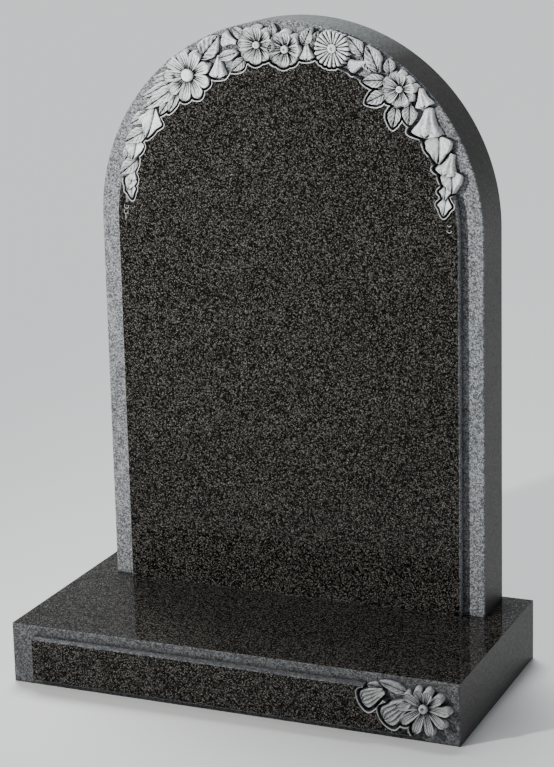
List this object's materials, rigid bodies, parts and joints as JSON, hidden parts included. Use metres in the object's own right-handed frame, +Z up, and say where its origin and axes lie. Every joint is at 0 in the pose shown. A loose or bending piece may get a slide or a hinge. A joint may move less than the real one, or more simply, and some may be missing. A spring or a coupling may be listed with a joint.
{
  "type": "headstone",
  "caption": "Upright granite headstone with a half-round top, a garland of flowers carved along its arch and a raised polished face, standing on a low base with a carved spray.",
  "frame": {"origin": "centre of the whole part's footprint, on the underside of the base", "axes": "+X to the right seen from the front, +Y from the front to the back, +Z up"},
  "size_m": [0.61, 0.319, 0.8423],
  "materials": {
    "base": "dark granite, polished on top and on the raised front panel, frosted on the sunk margins and the carving",
    "headstone": "dark granite, polished on the raised front panel and the back, frosted on the sunk margin and the carving"
  },
  "bodies": {
    "root": {"base": "base", "headstone": "headstone"}
  },
  "joints": []
}
